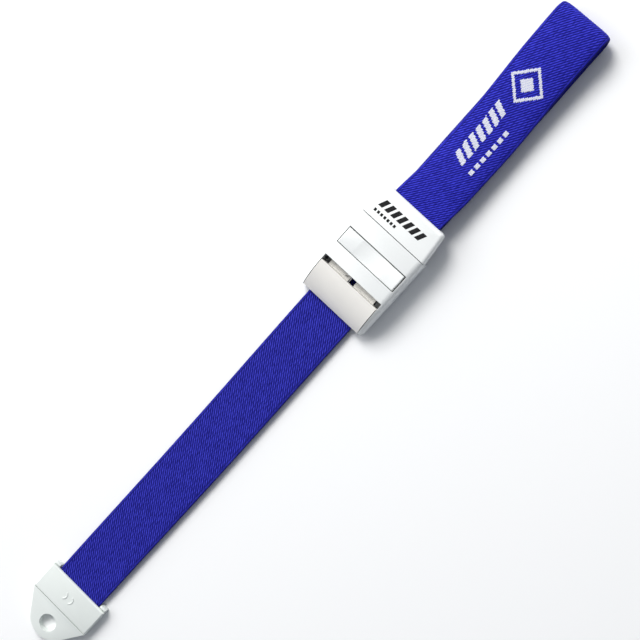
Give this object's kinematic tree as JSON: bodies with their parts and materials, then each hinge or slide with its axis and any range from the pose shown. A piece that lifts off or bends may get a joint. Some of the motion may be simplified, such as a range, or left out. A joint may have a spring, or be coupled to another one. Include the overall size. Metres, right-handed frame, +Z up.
{
  "type": "quick-release tourniquet",
  "caption": "Elastic webbing tourniquet with a push-button buckle, a rocker strap lock, a plug-in clip, a folded loop and a pull tab with a hanging hole.",
  "frame": {"origin": "on the surface the tourniquet lies on, under the middle of its bounding box", "axes": "+X along the webbing from the pull tab to the folded loop, +Y across the webbing, +Z up through the buckle's button face"},
  "size_m": [0.362, 0.036, 0.0126],
  "materials": {
    "webbing": "woven elastic webbing, matt",
    "white_plastic": "moulded white plastic, satin gloss",
    "rocker_plastic": "moulded warm white plastic, satin",
    "tab_plastic": "moulded pale grey plastic, satin",
    "steel": "bright drawn spring wire and ground rod"
  },
  "bodies": {
    "strap_assembly": {"strap": "webbing", "clip_base": "white_plastic", "clip_cover": "white_plastic", "tab_base": "tab_plastic", "tab_cover": "tab_plastic"},
    "housing": {"housing_shell": "white_plastic", "base_plate": "white_plastic", "rocker_axle": "steel", "rocker_spring": "steel", "button_spring_left": "steel", "button_spring_right": "steel"},
    "button": {"release_button": "white_plastic", "latch_bar": "white_plastic"},
    "rocker": {"rocker_lever": "rocker_plastic"}
  },
  "joints": [
    {"name": "buckle_slide", "type": "slide", "parent": "strap_assembly", "child": "housing", "axis": [-1, 0, 0], "range_m": [0, 0.168]},
    {"name": "button_press", "type": "slide", "parent": "housing", "child": "button", "axis": [0, 0, -1], "range_m": [0, 0.0016], "stiffness_N_per_m": 600, "springref_m": -0.0015, "deforming": ["button_spring_left", "button_spring_right"]},
    {"name": "rocker_tilt", "type": "hinge", "parent": "housing", "child": "rocker", "pos_m": [0.0305, 0, 0.0064], "axis": [0, 1, 0], "range_deg": [0, 14], "stiffness_Nm_per_rad": 0.02, "springref_deg": -28.65, "deforming": ["rocker_spring"]}
  ]
}
